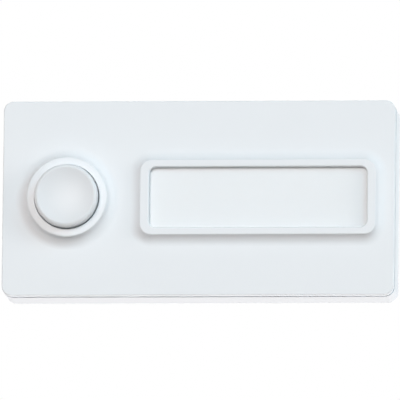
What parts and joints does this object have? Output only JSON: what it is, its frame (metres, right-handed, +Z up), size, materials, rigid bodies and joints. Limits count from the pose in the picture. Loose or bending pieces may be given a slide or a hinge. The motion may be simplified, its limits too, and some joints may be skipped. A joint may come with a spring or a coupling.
{
  "type": "doorbell push button",
  "caption": "Surface-mounted doorbell push button with a name field: a sprung round button in a collar and a framed card pane on a slim box.",
  "frame": {"origin": "centre of the face that lies on the wall, midway between the two wall screw holes", "axes": "+X to the right seen from the front, +Z up, +Y into the wall, so the front faces -Y"},
  "size_m": [0.09, 0.0172, 0.045],
  "materials": {
    "white_cover": "fine satin moulding",
    "white_box": "fine satin moulding",
    "white_button": "satin moulding",
    "clear_pane": "clear, polished",
    "white_card": "smooth blank card",
    "white_retainer": "matt moulding",
    "spring_bronze": "rolled phosphor bronze",
    "strip_brass": "rolled brass",
    "contact_silver": "fine silver",
    "rivet_brass": "turned brass",
    "plated_steel": "bright zinc plate"
  },
  "bodies": {
    "housing": {"front_cover": "white_cover", "back_box": "white_box", "name_window": "clear_pane", "name_card": "white_card", "card_retainer": "white_retainer", "contact_leaf": "spring_bronze", "contact_strip": "strip_brass", "strip_contact": "contact_silver", "leaf_rivet": "rivet_brass", "strip_rivet": "rivet_brass", "leaf_clamp_washer": "plated_steel", "leaf_terminal_screw": "plated_steel", "leaf_terminal_insert": "rivet_brass", "strip_clamp_washer": "plated_steel", "strip_terminal_screw": "plated_steel", "strip_terminal_insert": "rivet_brass"},
    "button": {"button_cap": "white_button", "leaf_contact": "contact_silver"}
  },
  "joints": [
    {"name": "button_press", "type": "slide", "parent": "housing", "child": "button", "axis": [0, 1, 0], "range_m": [0, 0.0015], "stiffness_N_per_m": 1000, "springref_m": -0.002, "deforming": ["contact_leaf"]}
  ]
}
